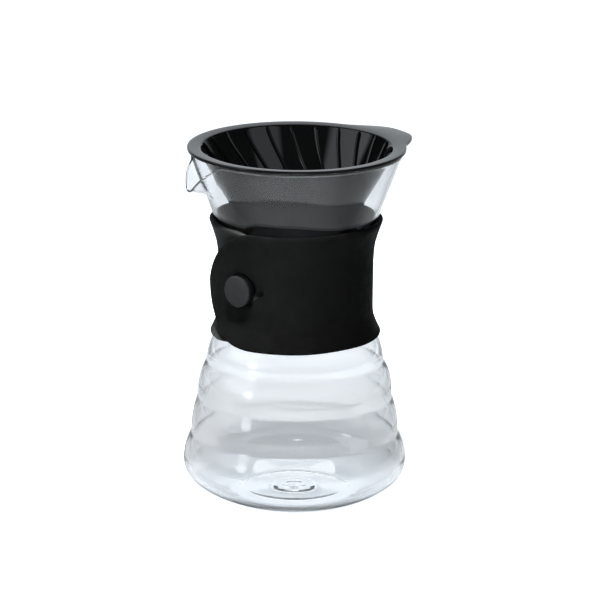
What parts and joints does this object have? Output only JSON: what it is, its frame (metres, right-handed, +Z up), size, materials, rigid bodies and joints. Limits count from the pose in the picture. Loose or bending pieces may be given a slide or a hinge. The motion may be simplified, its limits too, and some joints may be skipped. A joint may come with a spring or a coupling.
{
  "type": "coffee server carafe",
  "caption": "Waisted glass coffee server with a stepped body and a pulled spout, a plastic drip cone that lifts out of the mouth, and a rubber grip band closed by a button.",
  "frame": {"origin": "on the axis of the glass, in the plane of the ring it stands on", "axes": "+Z up along the axis of the glass, -X towards the spout"},
  "size_m": [0.1467, 0.1346, 0.217],
  "materials": {
    "clear_glass": "clear polished glass",
    "black_plastic": "glossy black",
    "black_rubber": "matt black",
    "grey_plastic": "satin dark grey"
  },
  "bodies": {
    "carafe": {"carafe_glass": "clear_glass", "grip_band": "black_rubber", "band_button": "grey_plastic"},
    "dripper": {"dripper": "black_plastic"},
    "flap": {"band_flap": "black_rubber"}
  },
  "joints": [
    {"name": "dripper_lift", "type": "slide", "parent": "carafe", "child": "dripper", "axis": [0, 0, 1], "range_m": [0, 0.14]},
    {"name": "flap_fold", "type": "hinge", "parent": "carafe", "child": "flap", "pos_m": [-0.03146, -0.04753, 0.138], "axis": [0, 0, 1], "range_deg": [0, 110]}
  ]
}
